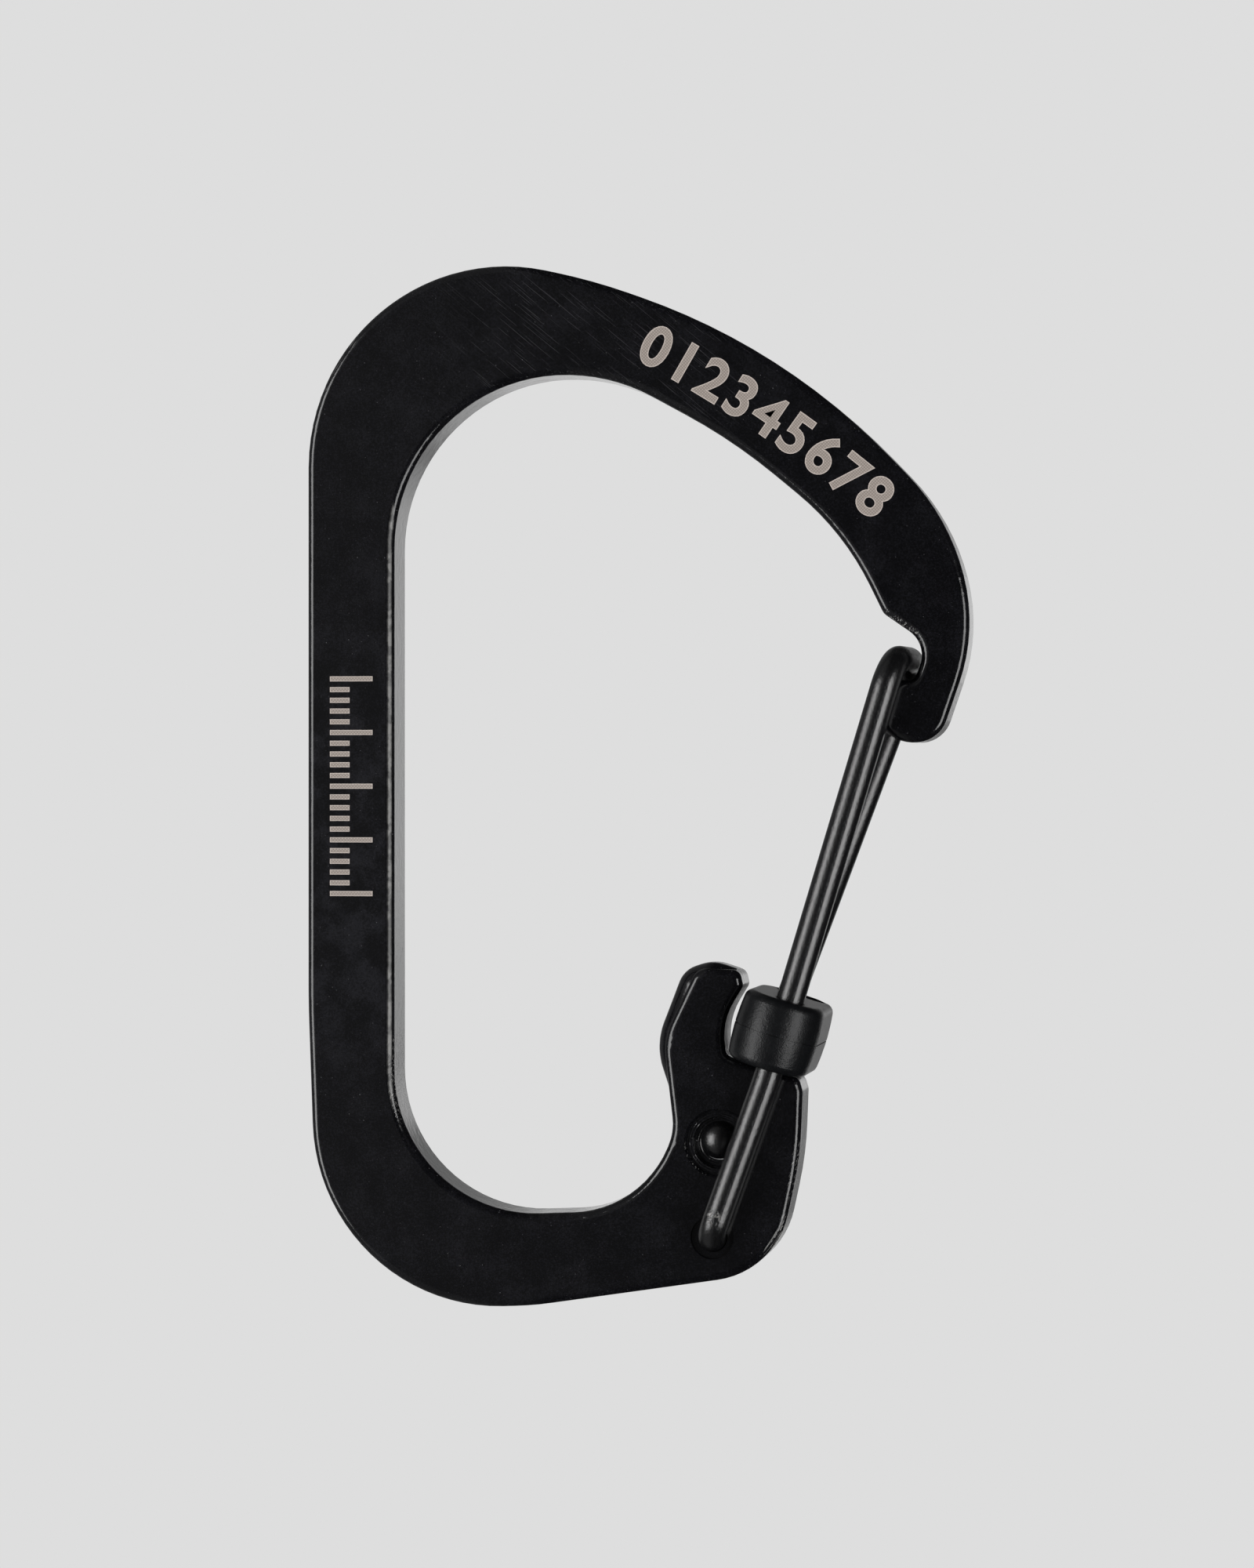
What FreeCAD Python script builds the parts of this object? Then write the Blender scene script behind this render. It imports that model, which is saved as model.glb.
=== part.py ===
import FreeCAD, Part
import os
from math import sin, tan

# Slide-lock wire-gate carabiner, in millimetres.
# X runs from the spine to the gate, Y through the plate's thickness, Z up to the top bight.
# The origin is the middle of the whole assembly with the gate shut.

# Overall size, and the size that the outline, pivots and crossbar below are drawn at.
overall_width = 39.5
overall_height = 61.7
drawn_width = 39.5
drawn_height = 61.7
width_ratio = overall_width / drawn_width
height_ratio = overall_height / drawn_height
round_ratio = min(width_ratio, height_ratio, 1)

# Frame plate.
plate_thickness = 3.8
edge_round = 0.45
spine_outer_x = -19.9
spine_inner_x = -14.65
shelf_left = -2.55
shelf_right = 1.95

# Outline corners as x, z and rounding radius, anticlockwise seen from the front.
spine_outer_corners = [
    (spine_outer_x, 33.8, 11.8),
    (spine_outer_x, -13.0, 60),
]
bottom_outer_corners = [
    (-19.25, -31.35, 11.1),
    (-6.25, -30.8, 20),
    (8.25, -28.55, 5.1),
    (9.7, -21.8, 21),
    (9.85, -17.9, 1.0),
]
finger_corners = [
    (5.0, -13.9, 4.0),
    (6.32, -11.75, 0.48),
    (6.12, -10.82, 0.6),
    (3.55, -10.7, 1.0),
    (1.55, -14.9, 4.0),
    (2.2, -20.4, 3.4),
]
inner_corners = [
    (0.2, -25.05, 6.4),
    (spine_inner_x, -25.7, 8.4),
    (spine_inner_x, 24.7, 10.2),
    (-1.4, 24.25, 11.0),
    (5.7, 20.35, 34.0),
    (12.25, 14.9, 16.5),
    (14.6, 10.1, 0.8),
]
nose_corners = [
    (13.85, 2.25, 2.4),
    (17.9, 2.7, 1.9),
]
top_outer_corners = [
    (20.1, 9.1, 10.9),
    (18.45, 15.7, 13.2),
    (8.7, 25.8, 39.0),
    (-2.7, 29.95, 36.0),
]
shelf_right_round = 0.6
shelf_left_round = 0.5

# Notch that the crossbar hooks into, by its gaps round the wire.
notch_back_gap = 0.705
notch_back_round = 1.7
notch_roof_gap = 0.075
notch_floor_gap = 0.375
notch_floor_inset = 0.095
notch_floor_round = 0.4
hook_reach = 1.67
hook_round = 0.6

# Rounded swelling on the inner side and top of the locking finger, as x, z and rounding radius.
pad_corners = [
    (8.9, -19.6, 1.4),
    (8.9, -11.75, 1.4),
    (4.4, -10.28, 2.2),
    (2.66, -10.85, 1.6),
    (0.95, -15.3, 4.0),
    (2.35, -19.6, 1.4),
]
pad_thickness = 3.5
pad_round = 1.2

# The part of the swelling that is kept, which ends inside the plate.
pad_kept = [(0, -18.9), (4.2, -18.9), (4.6, -14.2), (5.85, -11.5), (5.85, -9), (0, -9)]

# Wire gate.
wire_diameter = 1.65
wire_side_gap = 0.275
foot_bend_radius = 1.25
front_knee_radius = 10
back_knee_radius = 40
loop_bend_radius = 1.8
front_pivot = (4.52, -26.55)
front_knee = (7.87, -17.2)
back_pivot = (4.88, -20.85)
back_knee = (8.41, -13.0)
back_pivot_slack = 0.14
crossbar_front_x = 15.28
crossbar_back_x = 16.06
crossbar_z = 7.4
front_pivot_clearance = 0.05
back_pivot_clearance = 0.19
head_radius = 1.12
head_height = 0.75
head_recess_radius = 1.55
head_recess_depth = 0.65
head_step_radius = 1.92
head_step_depth = 0.3
head_step_chamfer = 0.12
head_seat_gap = 0.04
entry_recess_radius = 1.28
entry_recess_depth = 0.25

# Slider lock.
slider_width = 5.05
slider_depth = 9.6
slider_height = 4.2
slider_draft = 0.17
slider_rim_round = 0.5
slider_groove_width = 0.08
slider_groove_depth = 0.06
slider_middle_height = 2.78
slider_aside = -0.3
slider_seat_gap = 0.12
slider_bore_clearance = 0.07
slider_slot_clearance = 0.07
relief_depth = 1.5
relief_side_gap = 0.15
slot_end_gap = 0.04

# How far the gate swings, the slider slides and the back leg turns on the front one.
gate_opening = 18.0
slider_lift = 14.5
twist_ratio = 0.182

wire_radius = wire_diameter / 2
half_plate = plate_thickness / 2
leg_y = half_plate + wire_side_gap + wire_radius
eps = 0.01
arc_spacing = 0.03


def point(x, y, z):
    return FreeCAD.Vector(x, y, z)


def rounded_outline(corners, y):
    """Closed wire through corners (x, z, radius), straight between tangent arcs, in the plane at y."""
    count = len(corners)
    spots = [point(x, y, z) for x, z, radius in corners]
    halves = []
    reaches = []
    for i in range(count):
        half = (spots[i - 1] - spots[i]).getAngle(spots[(i + 1) % count] - spots[i]) / 2
        halves.append(half)
        reaches.append(corners[i][2] / tan(half))

    # Where two arcs would meet on the straight between them, both are made smaller.
    limits = [1] * count
    for i in range(count):
        length = (spots[i] - spots[i - 1]).Length
        share = length / (reaches[i - 1] + reaches[i] + arc_spacing)
        limits[i - 1] = min(limits[i - 1], share)
        limits[i] = min(limits[i], share)

    arcs = []
    for i in range(count):
        back_way = (spots[i - 1] - spots[i]).normalize()
        on_way = (spots[(i + 1) % count] - spots[i]).normalize()
        reach = reaches[i] * limits[i]
        radius = corners[i][2] * limits[i]
        middle = (back_way + on_way).normalize()
        crown = spots[i] + middle * (radius / sin(halves[i]) - radius)
        arcs.append((spots[i] + back_way * reach, crown, spots[i] + on_way * reach))
    edges = []
    for i in range(count):
        start, crown, end = arcs[i]
        edges.append(Part.Arc(start, crown, end).toShape())
        edges.append(Part.LineSegment(end, arcs[(i + 1) % count][0]).toShape())
    return Part.Wire(edges)


def cylinder_y(x, z, radius, y_from, y_to):
    return Part.makeCylinder(radius, y_to - y_from, point(x, y_from, z), point(0, 1, 0))


def placed(x, z):
    """A drawn position, stretched to the overall size."""
    return x * width_ratio, z * height_ratio


class Leg:
    """One leg's line in the XZ plane, from its pivot up to a slight knee and on to the crossbar."""

    def __init__(self, pivot, knee, top, knee_radius):
        self.foot = point(pivot[0], 0, pivot[1])
        self.knee = point(knee[0], 0, knee[1])
        self.top = point(top[0], 0, top[1])
        self.knee_radius = knee_radius
        self.along = (self.top - self.knee).normalize()
        self.across = point(self.along.z, 0, -self.along.x)

    def at(self, height, y, aside=0):
        """Point given from the knee: up the leg, through the thickness, and to its right."""
        return self.knee + self.along * height + point(0, y, 0) + self.across * aside


front_top = placed(crossbar_front_x, crossbar_z)
back_top = placed(crossbar_back_x, crossbar_z)
front_leg = Leg(placed(*front_pivot), placed(*front_knee), front_top, front_knee_radius)
back_leg = Leg(placed(*back_pivot), placed(*back_knee), back_top, back_knee_radius)


def on_slider(height, y, aside):
    """Point given from the slider's middle, which stands a little to the left of the front leg."""
    return front_leg.at(slider_middle_height + height, y, slider_aside + aside)


def frame_outline():
    """The plate's outline with the shelf that the slider rests on, stretched to the overall size."""
    shelf_height = -slider_height / 2 - slider_seat_gap
    left = on_slider(shelf_height, 0, shelf_left)
    right = on_slider(shelf_height, 0, shelf_right)
    corners = []
    for x, z, radius in spine_outer_corners + bottom_outer_corners:
        corners.append((*placed(x, z), radius * round_ratio))
    corners.append((right.x, right.z, shelf_right_round))
    corners.append((left.x, left.z, shelf_left_round))
    for x, z, radius in finger_corners + inner_corners:
        corners.append((*placed(x, z), radius * round_ratio))
    crossbar = (front_leg.top + back_leg.top) / 2
    floor = crossbar.z - wire_radius - notch_floor_gap
    roof = crossbar.z + wire_radius + notch_roof_gap
    corners.append((crossbar.x + wire_radius + notch_back_gap, roof, notch_back_round))
    corners.append((crossbar.x + wire_radius - notch_floor_inset, floor, notch_floor_round))
    corners.append((crossbar.x - hook_reach, floor, hook_round))
    for x, z, radius in nose_corners + top_outer_corners:
        corners.append((*placed(x, z), radius * round_ratio))
    return corners


def rounded_plate(corners, thickness, rounding):
    """Flat piece with this outline, centred on the XZ plane, its rims rounded."""
    outline = rounded_outline(corners, -thickness / 2)
    plate = Part.Face(outline).extrude(point(0, thickness, 0))
    rims = [edge for edge in plate.Edges if abs(abs(edge.CenterOfMass.y) - thickness / 2) < eps]
    return plate.makeFillet(rounding, rims)


def finger_pad():
    """Swelling for a thumb to find, with a softer rim than the plate's."""
    corners = [(*placed(x, z), radius) for x, z, radius in pad_corners]
    kept = [placed(x, z) for x, z in pad_kept]
    limits = [point(x, -half_plate, z) for x, z in kept + kept[:1]]
    keep = Part.Face(Part.makePolygon(limits)).extrude(point(0, plate_thickness, 0))
    return rounded_plate(corners, pad_thickness, pad_round).common(keep)


def pivot_cuts(x, z, clearance, entry_side):
    """Foot hole with its shallow entry recess, and the deeper stepped one for the foot's head."""

    def recess(side, radius, depth):
        return cylinder_y(x, z, radius, *sorted((side * (half_plate - depth), side * plate_thickness)))

    hole = cylinder_y(x, z, wire_radius + clearance, -plate_thickness, plate_thickness)
    entry = recess(entry_side, entry_recess_radius, entry_recess_depth)
    head = recess(-entry_side, head_recess_radius, head_recess_depth)
    step = recess(-entry_side, head_step_radius, head_step_depth)
    outer = head_step_radius + head_step_chamfer
    middle = point(x, -entry_side * half_plate, z)
    chamfer = Part.makeCone(outer, head_step_radius, head_step_chamfer, middle, point(0, entry_side, 0))
    return hole.fuse([entry, head, step, chamfer])


def frame():
    plate = rounded_plate(frame_outline(), plate_thickness, edge_round)
    plate = plate.fuse(finger_pad())
    front, back = front_leg.foot, back_leg.foot
    plate = plate.cut(pivot_cuts(front.x, front.z, front_pivot_clearance, -1))
    # The gate's spring holds the back foot in the top of its hole, and the foot sinks as the gate opens.
    plate = plate.cut(pivot_cuts(back.x, back.z - back_pivot_slack, back_pivot_clearance, 1))
    return plate.removeSplitter()


def bent_wire(points, radii):
    """Round wire along straight runs joined by tangent arcs."""
    edges = []
    start = points[0]
    for i in range(1, len(points) - 1):
        here = points[i]
        back_way = (points[i - 1] - here).normalize()
        on_way = (points[i + 1] - here).normalize()
        half = back_way.getAngle(on_way) / 2
        reach = radii[i - 1] / tan(half)
        middle = (back_way + on_way).normalize()
        crown = here + middle * (radii[i - 1] / sin(half) - radii[i - 1])
        edges.append(Part.LineSegment(start, here + back_way * reach).toShape())
        edges.append(Part.Arc(here + back_way * reach, crown, here + on_way * reach).toShape())
        start = here + on_way * reach
    edges.append(Part.LineSegment(start, points[-1]).toShape())
    path = Part.Wire(edges)
    direction = (points[1] - points[0]).normalize()
    section = Part.Wire([Part.Circle(points[0], direction, wire_radius).toShape()])
    return path.makePipeShell([section], True, True)


def foot_head(leg, side):
    """Peened head on the end of a foot, a dome standing in its recess."""
    base = side * (half_plate - head_recess_depth + head_seat_gap)
    dome_radius = (head_radius ** 2 + head_height ** 2) / (2 * head_height)
    middle = leg.foot + point(0, base + side * (head_height - dome_radius), 0)
    ball = Part.makeSphere(dome_radius, middle)
    keep = cylinder_y(leg.foot.x, leg.foot.z, head_radius, *sorted((base, base + side * 2 * head_height)))
    return ball.common(keep)


def gate_leg(leg, other_leg, side):
    """Half of the bent wire: head, foot through the plate, leg, and the loop up to mid-crossbar."""
    head_base = -side * (half_plate - head_recess_depth + head_seat_gap)
    points = [
        leg.foot + point(0, head_base, 0),
        leg.foot + point(0, side * leg_y, 0),
        leg.knee + point(0, side * leg_y, 0),
        leg.top + point(0, side * leg_y, 0),
        other_leg.top - point(0, side * leg_y, 0),
    ]
    wire = bent_wire(points, [foot_bend_radius, leg.knee_radius, loop_bend_radius])
    past = Part.makeBox(slider_depth, slider_depth, slider_depth)
    past.translate(leg.top - point(slider_depth, (1 + side) * slider_depth, slider_depth) / 2)
    return wire.cut(past).fuse(foot_head(leg, -side)).removeSplitter()


def slider_section(height, inset):
    """Stadium outline of the slider at a height from its middle, its sides drawn in by inset."""
    radius = slider_width / 2 - inset
    straight = slider_depth / 2 - slider_width / 2
    left_front = on_slider(height, -straight, -radius)
    right_front = on_slider(height, -straight, radius)
    right_back = on_slider(height, straight, radius)
    left_back = on_slider(height, straight, -radius)
    front_tip = on_slider(height, -straight - radius, 0)
    back_tip = on_slider(height, straight + radius, 0)
    return Part.Wire([
        Part.Arc(left_front, front_tip, right_front).toShape(),
        Part.LineSegment(right_front, right_back).toShape(),
        Part.Arc(right_back, back_tip, left_back).toShape(),
        Part.LineSegment(left_back, left_front).toShape(),
    ])


def slider_bore():
    """Round bore for the front leg, which guides the slider."""
    radius = wire_radius + slider_bore_clearance
    low = front_leg.at(slider_middle_height - slider_height, -leg_y)
    return Part.makeCylinder(radius, 2 * slider_height, low, front_leg.along)


def back_leg_aside(height, turned):
    """How far right of the front leg the back one runs at a height, once turned about its top."""
    turn = FreeCAD.Rotation(point(0, -1, 0), turned)
    spots = []
    for spot in (back_leg.foot, back_leg.knee, back_leg.top):
        moved = back_leg.top + turn.multVec(spot - back_leg.top) - front_leg.knee
        spots.append((moved.dot(front_leg.along), moved.dot(front_leg.across)))
    low, high = spots[:2] if height < spots[1][0] else spots[1:]
    return low[1] + (height - low[0]) * (high[1] - low[1]) / (high[0] - low[0])


def slider_slot():
    """Slot for the back leg, from its line when shut to its line when the gate is wide open."""
    radius = wire_radius + slider_slot_clearance
    ends = []
    corners = []
    shut = (0, 0, -slot_end_gap)
    wide_open = (slider_lift, gate_opening * twist_ratio, slot_end_gap)
    for lift, turned, gap in (shut, wide_open):
        line = []
        for height in (-slider_height / 2, slider_height / 2):
            raised = slider_middle_height + height
            line.append(front_leg.at(raised, leg_y, back_leg_aside(raised + lift, turned) + gap))
        run = line[1] - line[0]
        low = line[0] - run
        high = line[1] + run
        ends.append(Part.makeCylinder(radius, (high - low).Length, low, run))
        corners += [low, high] if lift == 0 else [high, low]
    across = point(0, radius, 0)
    face = Part.Face(Part.makePolygon([corner - across for corner in corners + corners[:1]]))
    return ends[0].fuse([ends[1], face.extrude(across * 2)])


def parting_groove():
    """Thin ring around the slider's middle, where the two halves of its mould met."""
    low = -slider_groove_width / 2
    rise = front_leg.along * slider_groove_width
    outer = Part.Face(slider_section(low, -slider_draft)).extrude(rise)
    return outer.cut(Part.Face(slider_section(low, slider_groove_depth)).extrude(rise))


def slider():
    half = slider_height / 2
    sections = [slider_section(-half, slider_draft)]
    sections.append(slider_section(0, 0))
    sections.append(slider_section(half, slider_draft))
    body = Part.makeLoft(sections, True, False)
    rims = []
    for edge in body.Edges:
        height = (edge.CenterOfMass - on_slider(0, 0, 0)).dot(front_leg.along)
        if abs(abs(height) - half) < eps:
            rims.append(edge)
    body = body.makeFillet(slider_rim_round, rims)
    body = body.cut([slider_bore(), slider_slot(), parting_groove()])

    # Slanted relief on the middle web, where it passes the finger as the gate swings.
    side = half_plate + relief_side_gap
    edge_aside = -slider_width / 2
    wedge = Part.Face(Part.makePolygon([
        on_slider(half, -side, edge_aside),
        on_slider(-half - eps, -side, edge_aside + relief_depth),
        on_slider(-half - eps, -side, 2 * edge_aside),
        on_slider(half, -side, 2 * edge_aside),
        on_slider(half, -side, edge_aside),
    ]))
    return body.cut(wedge.extrude(point(0, 2 * side, 0)))


nodes = {
    "frame": frame,
    "gate_front_leg": lambda: gate_leg(front_leg, back_leg, -1),
    "gate_back_leg": lambda: gate_leg(back_leg, front_leg, 1),
    "slider_lock": slider,
}

os.makedirs("parts", exist_ok=True)
for name, make in nodes.items():
    solids = make().Solids
    if len(solids) != 1 or not solids[0].isValid():
        raise SystemExit(name + " is not one valid solid")
    solids[0].exportStep("parts/" + name + ".step")
    box = solids[0].BoundBox
    print(name, "%.1f mm3" % solids[0].Volume)
    print("from %.2f %.2f %.2f" % (box.XMin, box.YMin, box.ZMin))
    print("to %.2f %.2f %.2f" % (box.XMax, box.YMax, box.ZMax))
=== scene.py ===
import math

import bmesh
import bpy
from mathutils import Matrix, Vector


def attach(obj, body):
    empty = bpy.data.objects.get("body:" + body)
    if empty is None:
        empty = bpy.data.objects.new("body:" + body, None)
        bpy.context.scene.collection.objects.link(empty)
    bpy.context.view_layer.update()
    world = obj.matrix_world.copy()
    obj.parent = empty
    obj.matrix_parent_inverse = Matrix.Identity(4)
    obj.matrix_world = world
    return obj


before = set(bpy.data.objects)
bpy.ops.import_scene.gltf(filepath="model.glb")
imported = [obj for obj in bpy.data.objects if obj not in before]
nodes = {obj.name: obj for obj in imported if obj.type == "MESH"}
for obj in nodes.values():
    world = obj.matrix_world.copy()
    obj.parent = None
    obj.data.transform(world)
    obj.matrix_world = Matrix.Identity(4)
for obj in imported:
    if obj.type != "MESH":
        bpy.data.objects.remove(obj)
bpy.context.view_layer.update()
mm = 0.001
print("frame loaded")


def toLinear(code):
    # sRGB hex code to linear colour with full alpha
    values = [int(code[i:i + 2], 16) / 255 for i in (1, 3, 5)]
    return [v / 12.92 if v <= 0.04045 else ((v + 0.055) / 1.055) ** 2.4 for v in values] + [1.0]


def addNode(tree, kind, settings):
    # adds a node and gives each property or socket its value, or a link where the value is an output
    node = tree.nodes.new(kind)
    for name, value in settings.items():
        if isinstance(value, bpy.types.NodeSocket):
            tree.links.new(value, node.inputs[name])
        elif isinstance(name, str) and hasattr(node, name):
            setattr(node, name, value)
        else:
            node.inputs[name].default_value = value
    return node


def newMaterial(name):
    material = bpy.data.materials.new(name)
    material.use_nodes = True
    material.node_tree.nodes.clear()
    return material, material.node_tree


def perMm(size):
    # pattern scale that repeats about once per size in millimetres
    return 1 / (size * mm)


# a Map Range that eases socket 0 from socket 1 to socket 2, and gives 0 to 1 or sockets 3 to 4
softStep = {"interpolation_type": "SMOOTHSTEP"}


def total(tree, *parts):
    # sum of (output, weight) pairs
    result = 0.0
    for output, weight in parts:
        part = addNode(tree, "ShaderNodeMath", {"operation": "MULTIPLY", 0: output, 1: weight}).outputs[0]
        result = addNode(tree, "ShaderNodeMath", {"operation": "ADD", 0: part, 1: result}).outputs[0]
    return result


def overlap(tree, *masks):
    # where all of these masks meet
    result = masks[0]
    for mask in masks[1:]:
        result = addNode(tree, "ShaderNodeMath", {"operation": "MULTIPLY", 0: result, 1: mask}).outputs[0]
    return result


def specks(tree, coords, spacing, size, share):
    # mask of sparse grains, some bright and some faint: one grain in some of the cells
    reach = size / spacing
    cells = addNode(tree, "ShaderNodeTexVoronoi", {"Scale": perMm(spacing), "Vector": coords})
    near = addNode(tree, "ShaderNodeMapRange", {
        **softStep, 0: cells.outputs["Distance"], 1: reach, 2: 0.4 * reach})
    pick = addNode(tree, "ShaderNodeSeparateColor", {"Color": cells.outputs["Color"]})
    chosen = addNode(tree, "ShaderNodeMath", {"operation": "GREATER_THAN", 0: pick.outputs[0], 1: 1 - share})
    return overlap(tree, near.outputs[0], chosen.outputs[0], pick.outputs[1])


def awayFrom(tree, coords, x, z):
    # distance in metres from a line through the plate at x, z in millimetres
    moved = addNode(tree, "ShaderNodeMapping", {"Location": (-x * mm, 0, -z * mm), "Vector": coords})
    flat = addNode(tree, "ShaderNodeVectorMath", {"operation": "MULTIPLY", 0: moved.outputs[0], 1: (1, 0, 1)})
    return addNode(tree, "ShaderNodeVectorMath", {"operation": "LENGTH", 0: flat.outputs[0]}).outputs["Value"]


def patch(tree, coords, x, z, radius):
    # soft round mask about a place on the plate
    edge = {0: awayFrom(tree, coords, x, z), 1: radius * mm, 2: 0.35 * radius * mm}
    return addNode(tree, "ShaderNodeMapRange", {**softStep, **edge}).outputs[0]


plateFinish = {
    "coat": "#09090b", "coatLight": "#16161a", "dust": "#77777a", "bareAndHighlight": "#a8a7a4",
    "ior": 1.55, "roughness": 0.1, "roughnessWorn": 0.2, "roughnessEdge": 0.17,
    "cloudSize": 2.4, "grainSize": 0.11, "waveSize": 1.1, "rimWaveSize": 0.5,
    "dustSpacing": 0.24, "dustSize": 0.04, "dustShare": 0.5,
    "scratchSize": 0.09, "scratchLength": 2.2, "scratchTurn": 32, "rubbedAndHighlightShare": 0.7,
    "halfPlate": 1.9,
    "headRecess": (4.88, -20.99), "ringPitch": 0.15, "ringReach": 1.92, "ringFade": 0.1,
    # places where the rims are rubbed bare and are also painted light as a highlight
    "wornAndHighlightPlaces": [(9.35, -22.6, 2.2), (8.2, -26.3, 1.6), (-16.5, 24.0, 3.5), (15.9, 9.3, 2.0),
                   (-14.5, -17.2, 3.4), (3.4, -22.1, 1.4)],
    "mottle": "#1c1c20", "mottlePlace": (-17.0, -4.0, 16.0),
    "innerRim": -14.65, "innerRimWidth": 0.42, "innerRimFade": 0.05, "innerRimReach": (20, 17),
    "roughnessInnerRim": 0.36,
    "scuffSize": 0.07, "scuffLength": 3.0, "scuffTurn": 40,
    "scuffPlace": (-2.0, 26.5, 13.0), "scuffShare": 0.11,
    "waveHeight": 0.005, "rimWaveHeight": 0.02, "grainHeight": 0.0007, "dustHeight": 0.004,
    "ringHeight": 0.009, "scratchDepth": 0.006, "scuffDepth": 0.0008,
}


def makePlateCoating(spec):
    # black electro-coat over blanked and tumbled steel: a deep gloss with a cloudy film and dust,
    # a soft waver along its rounded rims, and rubbed places painted bright, partly bare steel where the coat
    # has worn thin and partly a painted highlight on the rims
    material, tree = newMaterial("blackElectroCoatOnTumbledSteel")
    coords = addNode(tree, "ShaderNodeTexCoord", {}).outputs["Object"]
    normal = addNode(tree, "ShaderNodeNewGeometry", {}).outputs["True Normal"]
    through = addNode(tree, "ShaderNodeSeparateXYZ", {0: normal}).outputs["Y"]
    facing = addNode(tree, "ShaderNodeMath", {"operation": "ABSOLUTE", 0: through}).outputs[0]
    onEdge = addNode(tree, "ShaderNodeMapRange", {**softStep, 0: facing, 1: 0.999, 2: 0.93}).outputs[0]
    onWall = addNode(tree, "ShaderNodeMapRange", {**softStep, 0: facing, 1: 0.5, 2: 0.1}).outputs[0]

    cloud = addNode(tree, "ShaderNodeTexNoise", {
        "Vector": coords, "Scale": perMm(spec["cloudSize"]), "Detail": 7, "Roughness": 0.68}).outputs["Fac"]
    grain = addNode(tree, "ShaderNodeTexNoise", {
        "Vector": coords, "Scale": perMm(spec["grainSize"]), "Detail": 3}).outputs["Fac"]
    wave = addNode(tree, "ShaderNodeTexNoise", {
        "Vector": coords, "Scale": perMm(spec["waveSize"]), "Detail": 2}).outputs["Fac"]
    rimWave = addNode(tree, "ShaderNodeTexNoise", {
        "Vector": coords, "Scale": perMm(spec["rimWaveSize"]), "Detail": 4}).outputs["Fac"]
    uneven = addNode(tree, "ShaderNodeTexNoise", {
        "Vector": coords, "Scale": perMm(spec["rimWaveSize"]), "Detail": 3}).outputs["Fac"]

    # the film of coating is cloudy all over, and blotched along the spine
    film = total(tree, (cloud, 0.4), (grain, 0.6))
    cloudy = addNode(tree, "ShaderNodeMapRange", {**softStep, 0: film, 1: 0.42, 2: 0.66}).outputs[0]
    colour = addNode(tree, "ShaderNodeMix", {
        "data_type": "RGBA", 0: cloudy, 6: toLinear(spec["coat"]), 7: toLinear(spec["coatLight"])}).outputs[2]
    blotch = addNode(tree, "ShaderNodeMapRange", {**softStep, 0: cloud, 1: 0.44, 2: 0.62}).outputs[0]
    speckled = addNode(tree, "ShaderNodeMapRange", {
        **softStep, 0: grain, 1: 0.35, 2: 0.6, 3: 0.35, 4: 1.0}).outputs[0]
    blotch = overlap(tree, blotch, patch(tree, coords, *spec["mottlePlace"]), speckled)
    colour = addNode(tree, "ShaderNodeMix", {
        "data_type": "RGBA", 0: blotch, 6: colour, 7: toLinear(spec["mottle"])}).outputs[2]

    # dust lies thicker where the film is cloudy
    dusty = addNode(tree, "ShaderNodeMapRange", {
        **softStep, 0: cloud, 1: 0.35, 2: 0.6, 3: 0.25, 4: 1.0}).outputs[0]
    dust = overlap(tree, specks(tree, coords, spec["dustSpacing"], spec["dustSize"], spec["dustShare"]), dusty)
    colour = addNode(tree, "ShaderNodeMix", {
        "data_type": "RGBA", 0: dust, 6: colour, 7: toLinear(spec["dust"])}).outputs[2]

    # rubbing leaves short slanting scratches that break the rims' shine into dashes; the rubbed places are
    # painted the bare steel colour, partly real wear and partly a painted highlight where the rims catch the
    # lamps
    drawnOut = spec["scratchLength"] / spec["scratchSize"]
    scratched = addNode(tree, "ShaderNodeMapping", {
        "vector_type": "TEXTURE", "Rotation": (0, math.radians(spec["scratchTurn"]), 0),
        "Scale": (1, 1, drawnOut), "Vector": coords}).outputs[0]
    scratch = addNode(tree, "ShaderNodeTexNoise", {
        "Vector": scratched, "Scale": perMm(spec["scratchSize"]), "Detail": 2}).outputs["Fac"]
    scratch = addNode(tree, "ShaderNodeMapRange", {**softStep, 0: scratch, 1: 0.56, 2: 0.68}).outputs[0]
    wornAndHighlightNear = 0.0
    for place in spec["wornAndHighlightPlaces"]:
        near = patch(tree, coords, *place)
        wornAndHighlightNear = addNode(tree, "ShaderNodeMath", {"operation": "MAXIMUM", 0: near, 1: wornAndHighlightNear}).outputs[0]
    rubbedAndHighlight = overlap(tree, wornAndHighlightNear, onEdge, scratch)
    # painted highlight: the bare steel colour mixed into the rubbed places lightens the rims there
    colour = addNode(tree, "ShaderNodeMix", {
        "data_type": "RGBA", 0: overlap(tree, rubbedAndHighlight, spec["rubbedAndHighlightShare"]), 6: colour,
        7: toLinear(spec["bareAndHighlight"])}).outputs[2]

    # the cut walls are duller than the face
    rough = addNode(tree, "ShaderNodeMapRange", {
        **softStep, 0: cloud, 1: 0.3, 2: 0.7, 3: spec["roughness"], 4: spec["roughnessWorn"]}).outputs[0]
    wallRough = overlap(tree, onWall, spec["roughnessEdge"])
    rough = addNode(tree, "ShaderNodeMath", {"operation": "MAXIMUM", 0: rough, 1: wallRough}).outputs[0]
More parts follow.
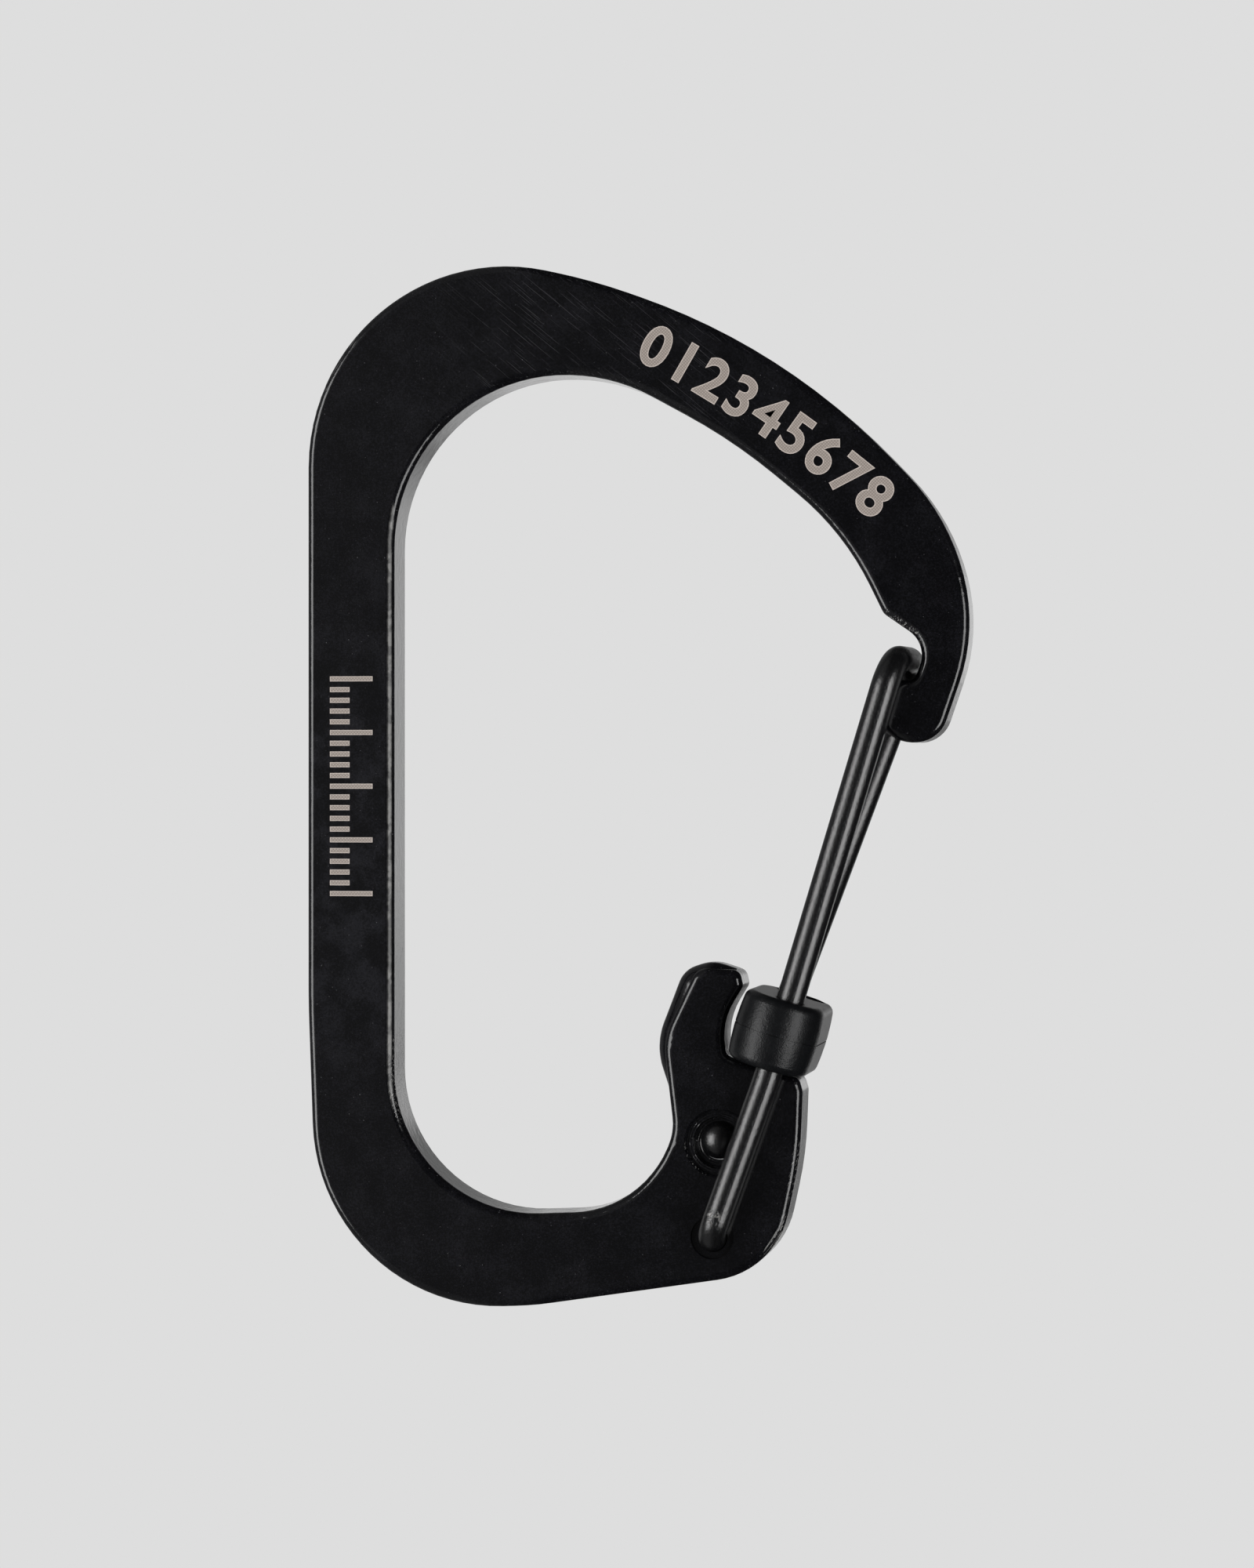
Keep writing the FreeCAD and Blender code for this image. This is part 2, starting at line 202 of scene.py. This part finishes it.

    # the spine's inner rim is left duller by the tumbling, so its highlight spreads into a broad, uneven band;
    # the band's grey is also a painted sheen, the bare steel colour mixed in unevenly to lighten it
    place = addNode(tree, "ShaderNodeSeparateXYZ", {0: coords})
    halfRim = spec["innerRimWidth"] / 2
    inset = addNode(tree, "ShaderNodeMath", {
        "operation": "SUBTRACT", 0: place.outputs["X"], 1: (spec["innerRim"] - halfRim) * mm}).outputs[0]
    inset = addNode(tree, "ShaderNodeMath", {"operation": "ABSOLUTE", 0: inset}).outputs[0]
    band = addNode(tree, "ShaderNodeMapRange", {
        **softStep, 0: inset, 1: (halfRim + spec["innerRimFade"]) * mm, 2: halfRim * mm}).outputs[0]
    upright = addNode(tree, "ShaderNodeMath", {"operation": "ABSOLUTE", 0: place.outputs["Z"]}).outputs[0]
    straight = addNode(tree, "ShaderNodeMapRange", {
        **softStep, 0: upright, 1: spec["innerRimReach"][0] * mm, 2: spec["innerRimReach"][1] * mm}).outputs[0]
    turned = addNode(tree, "ShaderNodeMapRange", {**softStep, 0: facing, 1: 0.6, 2: 0.75}).outputs[0]
    dull = overlap(tree, band, onEdge, turned, straight)
    rimRough = overlap(tree, dull, spec["roughnessInnerRim"])
    rough = addNode(tree, "ShaderNodeMath", {"operation": "MAXIMUM", 0: rough, 1: rimRough}).outputs[0]
    # painted sheen: how much of the bare steel colour lightens the inner rim's band
    paintedSheen = addNode(tree, "ShaderNodeMapRange", {
        **softStep, 0: uneven, 1: 0.4, 2: 0.62, 3: 0.12, 4: 0.5}).outputs[0]
    colour = addNode(tree, "ShaderNodeMix", {
        "data_type": "RGBA", 0: overlap(tree, dull, paintedSheen), 6: colour, 7: toLinear(spec["bareAndHighlight"])}).outputs[2]

    # hair-fine scuffs along the top of the face
    drawnOut = spec["scuffLength"] / spec["scuffSize"]
    swept = addNode(tree, "ShaderNodeMapping", {
        "vector_type": "TEXTURE", "Rotation": (0, math.radians(spec["scuffTurn"]), 0),
        "Scale": (drawnOut, 1, 1), "Vector": coords}).outputs[0]
    scuff = addNode(tree, "ShaderNodeTexNoise", {
        "Vector": swept, "Scale": perMm(spec["scuffSize"]), "Detail": 1}).outputs["Fac"]
    scuff = addNode(tree, "ShaderNodeMapRange", {**softStep, 0: scuff, 1: 0.6, 2: 0.72}).outputs[0]
    scuff = overlap(tree, scuff, patch(tree, coords, *spec["scuffPlace"]))
    colour = addNode(tree, "ShaderNodeMix", {
        "data_type": "RGBA", 0: overlap(tree, scuff, spec["scuffShare"]), 6: colour,
        7: toLinear(spec["dust"])}).outputs[2]

    # turned rings in the head's recess, worn away in places
    away = awayFrom(tree, coords, *spec["headRecess"])
    inRecess = addNode(tree, "ShaderNodeMapRange", {
        **softStep, 0: away, 1: spec["ringReach"] * mm,
        2: (spec["ringReach"] - spec["ringFade"]) * mm}).outputs[0]
    rings = overlap(tree, away, 2 * math.pi * perMm(spec["ringPitch"]))
    rings = addNode(tree, "ShaderNodeMath", {"operation": "SINE", 0: rings}).outputs[0]
    left = addNode(tree, "ShaderNodeMapRange", {
        **softStep, 0: uneven, 1: 0.42, 2: 0.6, 3: 0.15, 4: 1.0}).outputs[0]
    rings = overlap(tree, rings, inRecess, left)

    height = total(tree, (wave, spec["waveHeight"]), (overlap(tree, rimWave, onEdge), spec["rimWaveHeight"]),
                   (grain, spec["grainHeight"]), (dust, spec["dustHeight"]), (rings, spec["ringHeight"]),
                   (rubbedAndHighlight, -spec["scratchDepth"]), (scuff, -spec["scuffDepth"]))
    bump = addNode(tree, "ShaderNodeBump", {"Strength": 1.0, "Distance": mm, "Height": height})
    shader = addNode(tree, "ShaderNodeBsdfPrincipled", {
        "IOR": spec["ior"], "Base Color": colour, "Roughness": rough, "Normal": bump.outputs[0]})
    addNode(tree, "ShaderNodeOutputMaterial", {"Surface": shader.outputs[0]})
    return material


wireFinish = {
    "coat": "#09090a", "coatLight": "#1c1c1e", "bareAndHighlight": "#a3a19d", "ior": 1.75, "roughness": 0.23,
    "grainSize": 0.08, "pitSize": 0.2, "waveSize": 0.8,
    "chipAndHighlightPlace": (4.85, -25.2, 0.55), "chipAndHighlightFleckSize": 0.3, "chipAndHighlightShare": 0.7,
    "waveHeight": 0.008, "pitHeight": 0.015, "grainHeight": 0.01, "chipDepth": 0.02,
}


def makeWireCoating(spec):
    # black-coated spring wire: satin, with the fine pitting of drawn wire breaking up its highlights,
    # and one bright patch on the foot's bend, partly a flaked chip where it has been knocked and partly a
    # painted highlight where the bend catches the lamp
    material, tree = newMaterial("blackCoatedDrawnSpringWire")
    coords = addNode(tree, "ShaderNodeTexCoord", {}).outputs["Object"]
    grain = addNode(tree, "ShaderNodeTexNoise", {
        "Vector": coords, "Scale": perMm(spec["grainSize"]), "Detail": 4, "Roughness": 0.7}).outputs["Fac"]
    pits = addNode(tree, "ShaderNodeTexNoise", {
        "Vector": coords, "Scale": perMm(spec["pitSize"]), "Detail": 4, "Roughness": 0.65}).outputs["Fac"]
    wave = addNode(tree, "ShaderNodeTexNoise", {
        "Vector": coords, "Scale": perMm(spec["waveSize"]), "Detail": 2}).outputs["Fac"]
    flecks = addNode(tree, "ShaderNodeTexNoise", {
        "Vector": coords, "Scale": perMm(spec["chipAndHighlightFleckSize"]), "Detail": 5, "Roughness": 0.7}).outputs["Fac"]
    flecks = addNode(tree, "ShaderNodeMapRange", {**softStep, 0: flecks, 1: 0.5, 2: 0.58}).outputs[0]
    chipAndHighlight = overlap(tree, patch(tree, coords, *spec["chipAndHighlightPlace"]), flecks)
    speckled = addNode(tree, "ShaderNodeMapRange", {**softStep, 0: grain, 1: 0.45, 2: 0.7}).outputs[0]
    colour = addNode(tree, "ShaderNodeMix", {
        "data_type": "RGBA", 0: speckled, 6: toLinear(spec["coat"]), 7: toLinear(spec["coatLight"])}).outputs[2]
    # painted highlight: the bare steel colour in the chip patch also stands in for the bend's shine
    colour = addNode(tree, "ShaderNodeMix", {
        "data_type": "RGBA", 0: overlap(tree, chipAndHighlight, spec["chipAndHighlightShare"]), 6: colour,
        7: toLinear(spec["bareAndHighlight"])}).outputs[2]
    height = total(tree, (wave, spec["waveHeight"]), (pits, spec["pitHeight"]), (grain, spec["grainHeight"]),
                   (chipAndHighlight, -spec["chipDepth"]))
    bump = addNode(tree, "ShaderNodeBump", {"Strength": 1.0, "Distance": mm, "Height": height})
    shader = addNode(tree, "ShaderNodeBsdfPrincipled", {
        "IOR": spec["ior"], "Roughness": spec["roughness"], "Base Color": colour, "Normal": bump.outputs[0]})
    addNode(tree, "ShaderNodeOutputMaterial", {"Surface": shader.outputs[0]})
    return material


sliderFinish = {
    "plastic": "#0d0e10", "plasticLight": "#151618", "ior": 1.5, "roughness": 0.34, "shine": 0.3,
    "pebbleSize": 0.1, "dimpleSize": 0.32, "fleckSize": 0.8, "pebbleHeight": 0.014, "dimpleHeight": 0.014,
}


def makeSliderPlastic(spec):
    # black glass-filled nylon moulded in a spark-eroded tool: matt, with a fine pebbled grain
    material, tree = newMaterial("blackNylonMouldedSparkGrain")
    coords = addNode(tree, "ShaderNodeTexCoord", {}).outputs["Object"]
    pebble = addNode(tree, "ShaderNodeTexNoise", {
        "Vector": coords, "Scale": perMm(spec["pebbleSize"]), "Detail": 2}).outputs["Fac"]
    dimple = addNode(tree, "ShaderNodeTexNoise", {
        "Vector": coords, "Scale": perMm(spec["dimpleSize"]), "Detail": 3, "Roughness": 0.6}).outputs["Fac"]
    fleck = addNode(tree, "ShaderNodeTexNoise", {
        "Vector": coords, "Scale": perMm(spec["fleckSize"]), "Detail": 5, "Roughness": 0.7}).outputs["Fac"]
    fleck = addNode(tree, "ShaderNodeMapRange", {**softStep, 0: fleck, 1: 0.4, 2: 0.7}).outputs[0]
    colour = addNode(tree, "ShaderNodeMix", {
        "data_type": "RGBA", 0: fleck, 6: toLinear(spec["plastic"]),
        7: toLinear(spec["plasticLight"])}).outputs[2]
    height = total(tree, (pebble, spec["pebbleHeight"]), (dimple, spec["dimpleHeight"]))
    bump = addNode(tree, "ShaderNodeBump", {"Strength": 1.0, "Distance": mm, "Height": height})
    shader = addNode(tree, "ShaderNodeBsdfPrincipled", {
        "IOR": spec["ior"], "Roughness": spec["roughness"], "Specular IOR Level": spec["shine"],
        "Base Color": colour, "Normal": bump.outputs[0]})
    addNode(tree, "ShaderNodeOutputMaterial", {"Surface": shader.outputs[0]})
    return material


finishes = {"frame": makePlateCoating(plateFinish), "slider_lock": makeSliderPlastic(sliderFinish)}
finishes["gate_front_leg"] = finishes["gate_back_leg"] = makeWireCoating(wireFinish)
for name, material in finishes.items():
    nodes[name].data.materials.clear()
    nodes[name].data.materials.append(material)
print("coatings and plastic made")

# marks on the front face: a plain ruler up the spine and a plain numbered scale along the top arm
etch = {
    "rim": "#c3b8b0", "fill": "#beb3aa", "fillDark": "#8f857e", "hatchPitch": 0.13, "hatchTurn": 45,
    "ior": 1.5, "roughness": 0.5, "waver": 0.4, "proud": 0.004, "sunk": 0.02, "rimWidth": 0.055,
    "mergeDistance": 0.0005,
}
ruler = {
    "x": -17.2, "low": -6.4, "pitch": 0.64, "count": 21,
    "barWidth": 0.3, "short": 1.2, "tall": 2.6, "every": 5,
}
scale = {
    "centre": (-35.95, -41.67), "radius": 76.98, "from": 61.2, "to": 49.5, "numbers": 9,
    "height": 2.5, "fontRatio": 1.36, "outlineGrow": 0.09, "fillGrow": 0.035,
    "curveSteps": 6,
}


def makeEtch(spec, name, light, dark):
    # coating burnt off down to the steel by a laser: flat beige-grey, with the beam's crossed scan lines,
    # which are drawn twice as far apart as they really are so that they show
    material, tree = newMaterial(name)
    coords = addNode(tree, "ShaderNodeTexCoord", {}).outputs["Object"]
    lines = 1.0
    for turn in (spec["hatchTurn"], spec["hatchTurn"] + 90):
        turned = addNode(tree, "ShaderNodeMapping", {"Rotation": (0, math.radians(turn), 0), "Vector": coords})
        wave = addNode(tree, "ShaderNodeTexWave", {
            "Scale": perMm(spec["hatchPitch"]) * math.pi / 10,  # at a scale of 1 its bands are pi / 10 apart
            "Distortion": spec["waver"], "Vector": turned.outputs[0]})
        lines = overlap(tree, wave.outputs["Fac"], lines)
    colour = addNode(tree, "ShaderNodeMix", {
        "data_type": "RGBA", 0: lines, 6: toLinear(dark), 7: toLinear(light)}).outputs[2]
    shader = addNode(tree, "ShaderNodeBsdfPrincipled", {
        "IOR": spec["ior"], "Roughness": spec["roughness"], "Base Color": colour})
    addNode(tree, "ShaderNodeOutputMaterial", {"Surface": shader.outputs[0]})
    return material


etchRim = makeEtch(etch, "laserEtchedSteelOutline", etch["rim"], etch["rim"])
etchFill = makeEtch(etch, "laserEtchedSteelScanLines", etch["fill"], etch["fillDark"])


def onFace(x, z, angle):
    # stands a flat shape drawn in XY on the plate's front face, turned by angle in degrees
    turn = Matrix.Rotation(math.radians(-angle), 4, "Y") @ Matrix.Rotation(math.radians(90), 4, "X")
    return Matrix.Translation(Vector((x, -plateFinish["halfPlate"], z)) * mm) @ turn


def addBar(bm, x, z, width, height):
    # one etched bar: a slab just proud of the face, with its outline inset as its own material
    slab = bmesh.ops.create_cube(bm, size=1.0)["verts"]
    depth = (etch["proud"] + etch["sunk"]) * mm
    lift = Matrix.Translation((0, 0, etch["proud"] * mm - depth / 2))
    size = Matrix.Diagonal((width * mm, height * mm, depth, 1))
    bmesh.ops.transform(bm, matrix=onFace(x, z, 0) @ lift @ size, verts=slab)
    bm.normal_update()
    front = [face for face in {face for vert in slab for face in vert.link_faces} if face.normal.y < -0.9]
    bmesh.ops.inset_individual(bm, faces=front, thickness=etch["rimWidth"] * mm, depth=0)
    for face in front:
        face.material_index = 1


def digitMesh(digit, grow):
    # a digit as a closed slab lying flat, its outline grown by grow
    curve = bpy.data.curves.new("digit", "FONT")
    curve.body = str(digit)
    curve.size = scale["height"] * scale["fontRatio"] * mm
    curve.align_x = "CENTER"
    curve.align_y = "CENTER"
    curve.offset = grow * mm
    curve.extrude = etch["sunk"] / 2 * mm
    curve.resolution_u = scale["curveSteps"]
    holder = bpy.data.objects.new("digit", curve)
    bpy.context.scene.collection.objects.link(holder)
    mesh = bpy.data.meshes.new_from_object(holder.evaluated_get(bpy.context.evaluated_depsgraph_get()))
    bpy.data.objects.remove(holder)
    return mesh


def addDigit(bm, digit, place, grow, rise, slot):
    mesh = digitMesh(digit, grow)
    shape = bmesh.new()
    shape.from_mesh(mesh)
    bmesh.ops.remove_doubles(shape, verts=shape.verts, dist=etch["mergeDistance"] * mm)
    lift = Matrix.Translation((0, 0, (rise - etch["sunk"] / 2) * mm))
    bmesh.ops.transform(shape, matrix=place @ lift, verts=shape.verts)
    for face in shape.faces:
        face.material_index = slot
    shape.to_mesh(mesh)
    shape.free()
    bm.from_mesh(mesh)
    bpy.data.meshes.remove(mesh)


def finishMarks(bm, name):
    mesh = bpy.data.meshes.new(name)
    bmesh.ops.recalc_face_normals(bm, faces=bm.faces)
    bm.to_mesh(mesh)
    bm.free()
    mesh.materials.append(etchRim)
    mesh.materials.append(etchFill)
    piece = bpy.data.objects.new(name, mesh)
    bpy.context.scene.collection.objects.link(piece)
    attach(piece, "frame")


bm = bmesh.new()
for i in range(ruler["count"]):
    length = ruler["tall"] if i % ruler["every"] == 0 else ruler["short"]
    x = ruler["x"] - ruler["tall"] / 2 + length / 2
    addBar(bm, x, ruler["low"] + i * ruler["pitch"], length, ruler["barWidth"])
finishMarks(bm, "spineRulerMarks")

bm = bmesh.new()
for digit in range(scale["numbers"]):
    share = digit / (scale["numbers"] - 1)
    angle = scale["from"] + share * (scale["to"] - scale["from"])
    x = scale["centre"][0] + scale["radius"] * math.cos(math.radians(angle))
    z = scale["centre"][1] + scale["radius"] * math.sin(math.radians(angle))
    place = onFace(x, z, angle - 90)
    addDigit(bm, digit, place, scale["outlineGrow"], etch["proud"] * 0.5, 0)
    addDigit(bm, digit, place, scale["fillGrow"], etch["proud"], 1)
finishMarks(bm, "armScaleMarks")
print("marks etched")

studio = {
    "backdrop": "#dedede", "floorDrop": 250, "floorSize": 2000, "floorRoughness": 0.8,
    "ambient": 0.2, "frontGloss": 0.02, "sideGloss": 0.16, "behindGloss": 0.95, "aboveGloss": 0.35,
    "cardGloss": 0.2, "card": (-0.06, 0.15, -0.16, -0.05), "cardSoft": 0.03,
    "behindFrom": (0.85, 0.95), "sideFrom": (-0.06, -0.32), "aboveFrom": (0.06, 0.14),
    "boxDistance": 500,
    "boxes": [
        {"name": "leftBox", "turn": -50, "rise": 0, "width": 250, "height": 430, "radiance": 4.8},
        {"name": "rightBox", "turn": 50, "rise": -11, "width": 250, "height": 420, "radiance": 4.8},
    ],
    "lens": 123.1, "cameraAt": (39.04, -251.86, 0.13), "cameraTurn": 9.0,
}

floorMesh = bpy.data.meshes.new("studioFloor")
bm = bmesh.new()
bmesh.ops.create_grid(bm, x_segments=1, y_segments=1, size=studio["floorSize"] / 2 * mm)
bmesh.ops.translate(bm, verts=bm.verts, vec=(0, 0, -studio["floorDrop"] * mm))
bm.to_mesh(floorMesh)
bm.free()
floor = bpy.data.objects.new("studioFloor", floorMesh)
bpy.context.scene.collection.objects.link(floor)
floorPaint, tree = newMaterial("paleMattFloorPaint")
paint = addNode(tree, "ShaderNodeBsdfPrincipled", {
    "Base Color": toLinear(studio["backdrop"]), "Roughness": studio["floorRoughness"]})
addNode(tree, "ShaderNodeOutputMaterial", {"Surface": paint.outputs[0]})
floorMesh.materials.append(floorPaint)
floor.visible_glossy = False  # so that it doesn't grey the gloss of the undersides

# the world is even and dim for matt light; for gloss it is dark in front of the object and pale behind it,
# where a grey card keeps the lower right walls dim
world = bpy.data.worlds.new("studioWorld")
bpy.context.scene.world = world
world.use_nodes = True
tree = world.node_tree
tree.nodes.clear()
path = addNode(tree, "ShaderNodeLightPath", {})
around = addNode(tree, "ShaderNodeTexCoord", {}).outputs["Generated"]
across, along, up = addNode(tree, "ShaderNodeSeparateXYZ", {0: around}).outputs
behind = addNode(tree, "ShaderNodeMapRange", {
    **softStep, 0: along, 1: studio["behindFrom"][0], 2: studio["behindFrom"][1]}).outputs[0]
frontTone = addNode(tree, "ShaderNodeMapRange", {
    **softStep, 0: across, 1: studio["sideFrom"][0], 2: studio["sideFrom"][1],
    3: studio["frontGloss"], 4: studio["sideGloss"]}).outputs[0]
left, right, low, high = studio["card"]
soft = studio["cardSoft"]
edges = []
for way, start, end in ((across, left - soft, left), (across, right + soft, right),
                        (up, low - soft, low), (up, high + soft, high)):
    edges.append(addNode(tree, "ShaderNodeMapRange", {**softStep, 0: way, 1: start, 2: end}).outputs[0])
rearTone = addNode(tree, "ShaderNodeMapRange", {
    **softStep, 0: up, 1: studio["aboveFrom"][0], 2: studio["aboveFrom"][1],
    3: studio["behindGloss"], 4: studio["aboveGloss"]}).outputs[0]
rearTone = addNode(tree, "ShaderNodeMix", {
    "data_type": "FLOAT", 0: overlap(tree, *edges), 2: rearTone, 3: studio["cardGloss"]}).outputs[0]
gloss = addNode(tree, "ShaderNodeMix", {"data_type": "FLOAT", 0: behind, 2: frontTone, 3: rearTone}).outputs[0]
strength = addNode(tree, "ShaderNodeMix", {
    "data_type": "FLOAT", 0: path.outputs["Is Glossy Ray"], 2: studio["ambient"], 3: gloss}).outputs[0]
seen = addNode(tree, "ShaderNodeMath", {
    "operation": "MAXIMUM", 0: path.outputs["Is Camera Ray"],
    1: path.outputs["Is Transmission Ray"]}).outputs[0]
strength = addNode(tree, "ShaderNodeMix", {
    "data_type": "FLOAT", 0: seen, 2: strength, 3: toLinear(studio["backdrop"])[0]}).outputs[0]
glow = addNode(tree, "ShaderNodeBackground", {"Color": (1, 1, 1, 1), "Strength": strength})
addNode(tree, "ShaderNodeOutputWorld", {"Surface": glow.outputs[0]})

for box in studio["boxes"]:
    lamp = bpy.data.lights.new(box["name"], "AREA")
    lamp.shape = "RECTANGLE"
    lamp.size = box["width"] * mm
    lamp.size_y = box["height"] * mm
    lamp.energy = box["radiance"] * math.pi * lamp.size * lamp.size_y
    holder = bpy.data.objects.new(box["name"], lamp)
    bpy.context.scene.collection.objects.link(holder)
    turn, rise = math.radians(box["turn"]), math.radians(box["rise"])
    away = Vector((math.sin(turn) * math.cos(rise), -math.cos(turn) * math.cos(rise), math.sin(rise)))
    holder.location = away * studio["boxDistance"] * mm
    holder.rotation_euler = away.to_track_quat("Z", "Y").to_euler()
    holder.visible_camera = False

camera = bpy.data.cameras.new("camera")
camera.lens = studio["lens"]
camera.sensor_fit = "HORIZONTAL"
camera.sensor_width = 36
camera.clip_start = 0.01
camera.clip_end = 100
cameraHolder = bpy.data.objects.new("camera", camera)
bpy.context.scene.collection.objects.link(cameraHolder)
cameraHolder.location = Vector(studio["cameraAt"]) * mm
cameraHolder.rotation_euler = (math.radians(90), 0, math.radians(studio["cameraTurn"]))
bpy.context.scene.camera = cameraHolder
bpy.context.scene.view_settings.view_transform = "Standard"
print("studio set")
